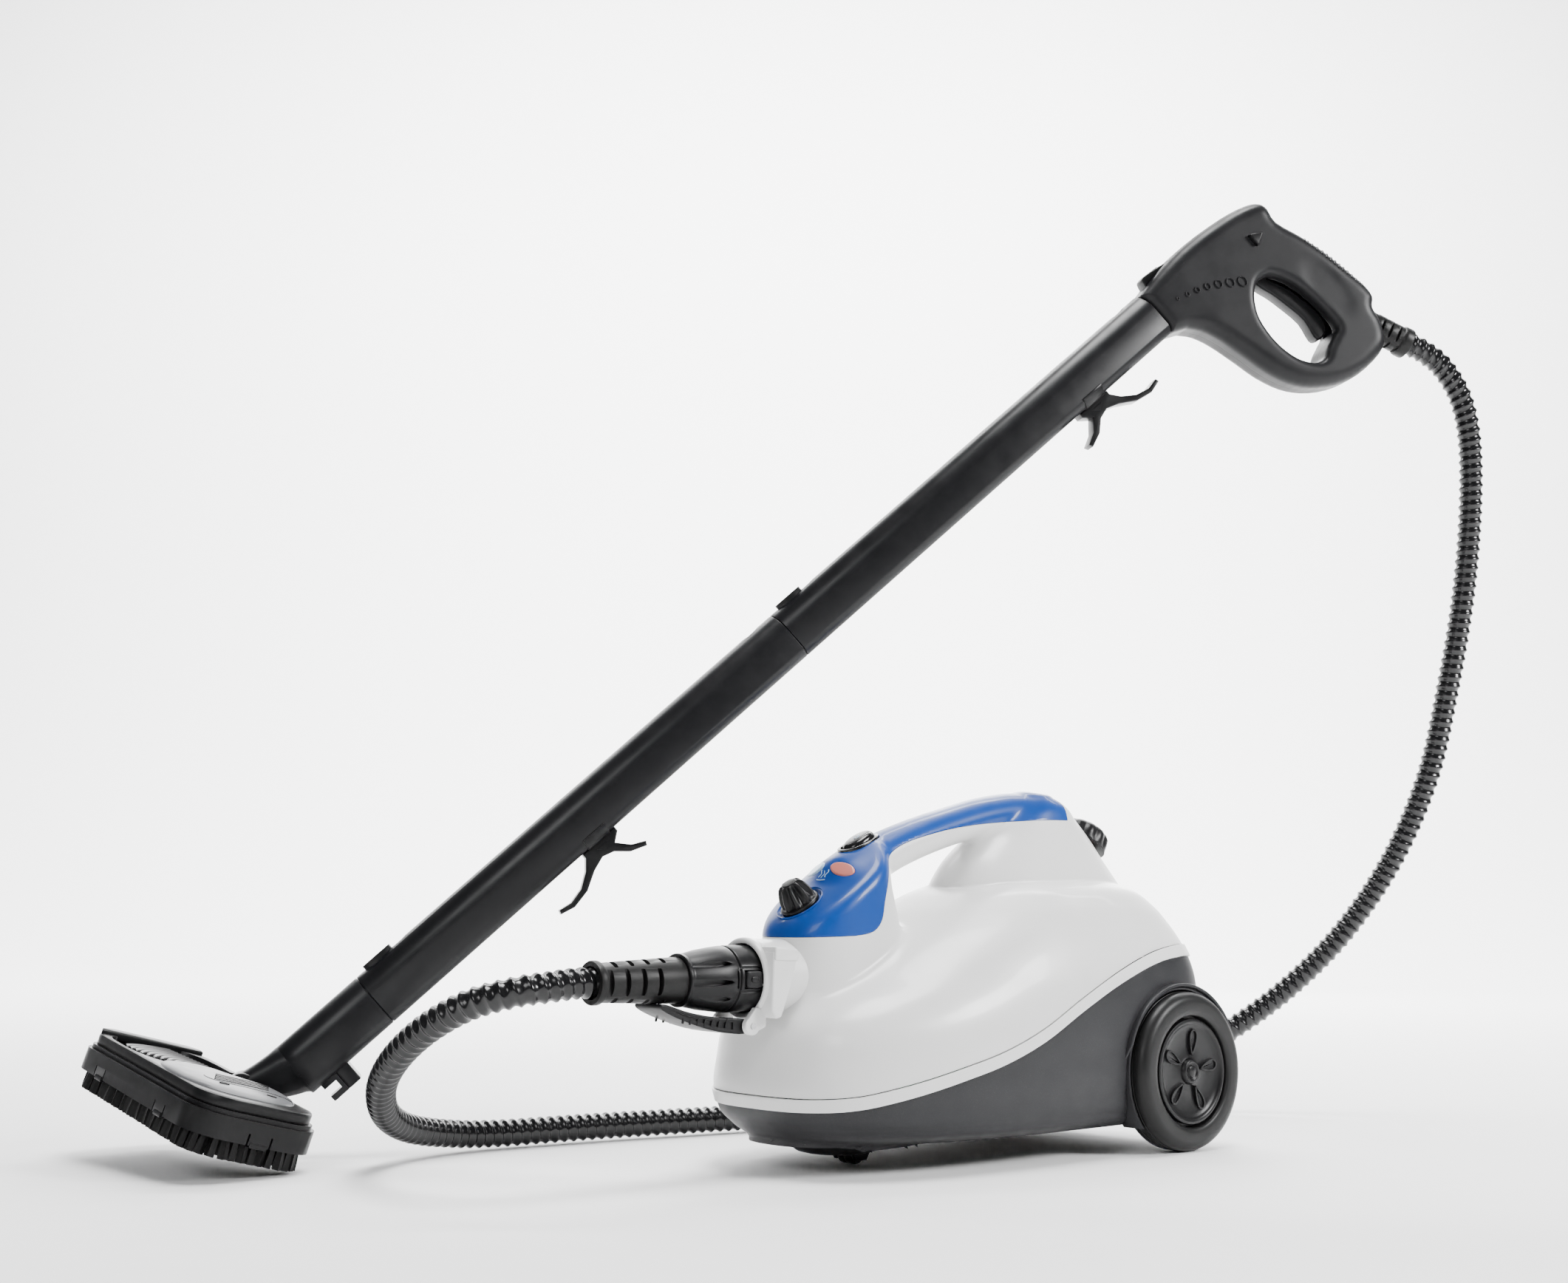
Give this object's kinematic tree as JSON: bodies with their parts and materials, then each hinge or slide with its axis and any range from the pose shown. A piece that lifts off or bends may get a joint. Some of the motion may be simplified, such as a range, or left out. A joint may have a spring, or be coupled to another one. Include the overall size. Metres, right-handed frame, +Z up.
{
  "type": "steam cleaner",
  "caption": "Wheeled domestic steam cleaner with a handled boiler body, steam hose, trigger gun, two-piece wand and a swivelling floor brush.",
  "frame": {"origin": "point on the floor in the machine's centre plane, 118 mm in front of the rear axle", "axes": "+Z up, front of the machine and its hose socket towards -X, the machine's left side towards -Y"},
  "size_m": [1.0534, 0.6401, 0.8211],
  "materials": {
    "white_shell": "satin gloss moulded white plastic",
    "dark_base": "satin graphite plastic, finely speckled",
    "blue_cover": "high gloss metallic blue plastic",
    "brass_parts": "machined",
    "black_plastic": "satin black plastic",
    "gun_plastic": "satin dark grey plastic",
    "tube_plastic": "smooth satin black plastic",
    "hose_black": "glossy ribbed flexible plastic",
    "rubber_parts": "moulded soft rubber",
    "seal_rubber": "silicone seal",
    "wheel_rubber": "matt hard black plastic tread",
    "grey_plate": "satin grey plastic",
    "bristle_black": "nylon tufts",
    "red_lens": "tinted lamp lens",
    "clear_lens": "pale lamp lens",
    "steel_parts": "plated steel",
    "boiler_metal": "cast and brushed",
    "heater_metal": "copper coloured sheath",
    "board_green": "coated circuit board",
    "ivory_plastic": "ivory plastic"
  },
  "bodies": {
    "body": {"upper_shell": "white_shell", "base_tub": "dark_base", "control_cover": "blue_cover", "socket_collar": "white_shell", "steam_socket": "brass_parts", "knob_bezel": "black_plastic", "regulator_valve": "brass_parts", "lamp_left": "red_lens", "lamp_right": "clear_lens", "switch_frame": "black_plastic", "filler_neck": "steel_parts", "boiler_lower": "boiler_metal", "boiler_upper": "boiler_metal", "boiler_bolts": "steel_parts", "heating_element": "heater_metal", "thermostat": "steel_parts", "pressure_switch": "steel_parts", "solenoid_valve": "brass_parts", "steam_pipes": "heater_metal", "circuit_board": "board_green", "terminal_block": "ivory_plastic", "mains_gland": "rubber_parts", "rear_axle": "steel_parts", "axle_brackets": "dark_base", "axle_clips": "steel_parts", "flap_pin": "steel_parts", "connector_body": "black_plastic", "connector_relief": "rubber_parts", "steam_hose": "hose_black", "gun_shell_left": "gun_plastic", "gun_shell_right": "gun_plastic", "gun_switch": "ivory_plastic", "gun_relief": "rubber_parts", "wand_tube_upper": "tube_plastic", "wand_tube_lower": "tube_plastic", "wand_spigots": "tube_plastic", "wand_hooks": "black_plastic", "elbow": "tube_plastic"},
    "knob": {"steam_knob": "black_plastic"},
    "rocker": {"rocker_switch": "black_plastic"},
    "cap_seal": {"cap_gasket": "seal_rubber"},
    "cap": {"boiler_cap": "black_plastic"},
    "left_wheel": {"wheel_left": "wheel_rubber", "hubcap_left": "black_plastic"},
    "right_wheel": {"wheel_right": "wheel_rubber", "hubcap_right": "black_plastic"},
    "caster_swivel": {"caster_dome": "black_plastic", "caster_pin": "steel_parts"},
    "roller": {"caster_roller": "black_plastic"},
    "flap": {"socket_flap": "black_plastic"},
    "plug_button": {"connector_button": "black_plastic"},
    "trigger": {"gun_trigger": "black_plastic"},
    "trigger_lock": {"gun_lock": "black_plastic"},
    "gun_button": {"gun_latch": "black_plastic"},
    "mid_button": {"latch_button_mid": "black_plastic"},
    "low_button": {"latch_button_low": "black_plastic"},
    "yoke": {"brush_yoke": "black_plastic"},
    "brush": {"brush_housing": "black_plastic", "brush_cover": "grey_plate", "bristles": "bristle_black"}
  },
  "joints": [
    {"name": "knob_turn", "type": "hinge", "parent": "body", "child": "knob", "pos_m": [-0.183, 0, 0.193], "axis": [-0.5807, 0, 0.8141], "range_deg": [0, 270]},
    {"name": "rocker_tip", "type": "hinge", "parent": "body", "child": "rocker", "pos_m": [-0.11904, 0, 0.23248], "axis": [0, 1, 0], "range_deg": [-12, 0]},
    {"name": "cap_lift", "type": "slide", "parent": "body", "child": "cap_seal", "axis": [0.515, 0, 0.8572], "range_m": [0, 0.009]},
    {"name": "cap_turn", "type": "hinge", "parent": "cap_seal", "child": "cap", "pos_m": [0.13, 0, 0.243], "axis": [0.515, 0, 0.8572], "range_deg": [0, 1080]},
    {"name": "left_wheel_roll", "type": "hinge", "parent": "body", "child": "left_wheel", "pos_m": [0.118, -0.112, 0.062], "axis": [0, 1, 0], "continuous": true},
    {"name": "right_wheel_roll", "type": "hinge", "parent": "body", "child": "right_wheel", "pos_m": [0.118, 0.112, 0.062], "axis": [0, 1, 0], "continuous": true},
    {"name": "caster_turn", "type": "hinge", "parent": "body", "child": "caster_swivel", "pos_m": [-0.148, 0, 0.016], "axis": [0, 0, 1], "continuous": true},
    {"name": "roller_roll", "type": "hinge", "parent": "caster_swivel", "child": "roller", "pos_m": [-0.134, 0, 0.007], "axis": [0, 1, 0], "continuous": true},
    {"name": "flap_swing", "type": "hinge", "parent": "body", "child": "flap", "pos_m": [-0.246, 0, 0.107], "axis": [0, 1, 0], "range_deg": [-60, 0], "stiffness_Nm_per_rad": 0.05, "springref_deg": 22.92},
    {"name": "plug_button_press", "type": "slide", "parent": "body", "child": "plug_button", "axis": [0, 1, 0], "range_m": [0, 0.0025], "stiffness_N_per_m": 400},
    {"name": "trigger_pull", "type": "hinge", "parent": "body", "child": "trigger", "pos_m": [0.27779, -0.09457, 0.75336], "axis": [0.4818, 0.8763, 0], "range_deg": [-10, 0], "stiffness_Nm_per_rad": 0.6, "springref_deg": 11.46},
    {"name": "lock_push", "type": "slide", "parent": "body", "child": "trigger_lock", "axis": [0.4818, 0.8763, 0], "range_m": [0, 0.004]},
    {"name": "gun_button_press", "type": "slide", "parent": "body", "child": "gun_button", "axis": [0.5852, -0.3217, -0.7443], "range_m": [0, 0.0025], "stiffness_N_per_m": 500},
    {"name": "mid_button_press", "type": "slide", "parent": "body", "child": "mid_button", "axis": [0.5852, -0.3217, -0.7443], "range_m": [0, 0.0025], "stiffness_N_per_m": 500},
    {"name": "low_button_press", "type": "slide", "parent": "body", "child": "low_button", "axis": [0.5852, -0.3217, -0.7443], "range_m": [0, 0.0025], "stiffness_N_per_m": 500},
    {"name": "brush_tilt", "type": "hinge", "parent": "body", "child": "yoke", "pos_m": [-0.47533, 0.31946, 0.0521], "axis": [0.4818, 0.8763, 0], "range_deg": [-15, 40]},
    {"name": "brush_swivel", "type": "hinge", "parent": "yoke", "child": "brush", "pos_m": [-0.47533, 0.31946, 0.0521], "axis": [0.2562, -0.1409, 0.9563], "range_deg": [-60, 5]}
  ],
  "couplings": [
    {"joint": "cap_turn", "follows": "cap_lift", "rad_per_m": 2094.4}
  ]
}
